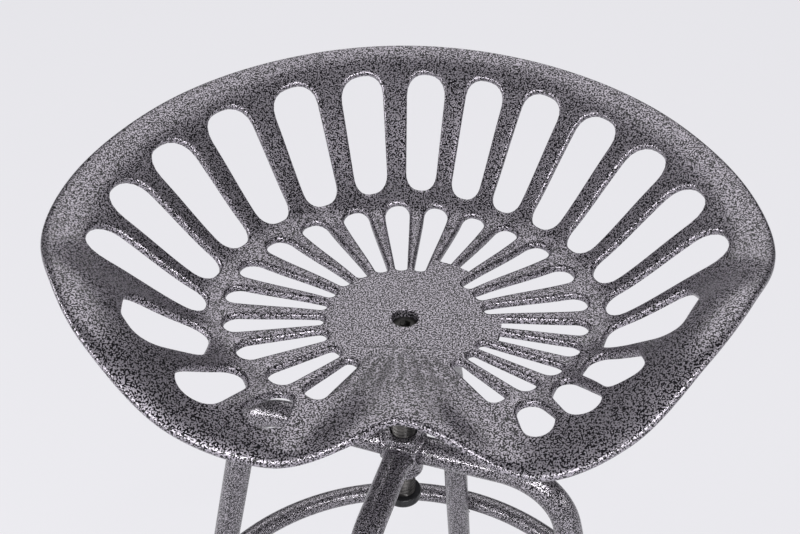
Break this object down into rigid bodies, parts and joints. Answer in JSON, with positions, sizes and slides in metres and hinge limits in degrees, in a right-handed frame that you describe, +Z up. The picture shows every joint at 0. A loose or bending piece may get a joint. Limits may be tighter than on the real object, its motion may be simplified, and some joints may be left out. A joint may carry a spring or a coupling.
{
  "type": "tractor seat stool",
  "caption": "Adjustable tractor seat stool: a pierced, dished metal seat on a screw spindle, carried by splayed bent tube legs with a round foot ring and rubber feet.",
  "frame": {"origin": "on the floor under the spindle's axis, in the middle of the four feet", "axes": "+Z up, +Y towards the high back rim of the seat, -Y towards the pommel and the thigh lobes, +X to the right in the picture"},
  "size_m": [0.4548, 0.46, 0.6909],
  "materials": {
    "seat_paint": "glossy hammered paint, silver veins on near black",
    "frame_paint": "glossy hammered paint, silver veins on near black",
    "black_steel": "oiled black steel",
    "black_rubber": "smooth black rubber"
  },
  "bodies": {
    "base": {"hub": "frame_paint", "leg_front": "frame_paint", "leg_left": "frame_paint", "leg_back": "frame_paint", "leg_right": "frame_paint", "foot_ring": "frame_paint", "foot_front": "black_rubber", "foot_left": "black_rubber", "foot_back": "black_rubber", "foot_right": "black_rubber"},
    "lift": {"stop_washer": "black_rubber"},
    "seat": {"seat": "seat_paint", "seat_screw": "black_steel", "seat_washer": "black_steel", "seat_flange": "frame_paint", "spindle": "black_steel", "stop_screw": "black_steel"}
  },
  "joints": [
    {"name": "screw_lift", "type": "slide", "parent": "base", "child": "lift", "axis": [0, 0, 1], "range_m": [-0.0765, 0.0212]},
    {"name": "seat_turn", "type": "hinge", "parent": "lift", "child": "seat", "pos_m": [0, 0, 0.495], "axis": [0, 0, 1], "range_deg": [-9180, 2520]}
  ],
  "couplings": [
    {"joint": "screw_lift", "follows": "seat_turn", "m_per_rad": 0.00047746}
  ]
}
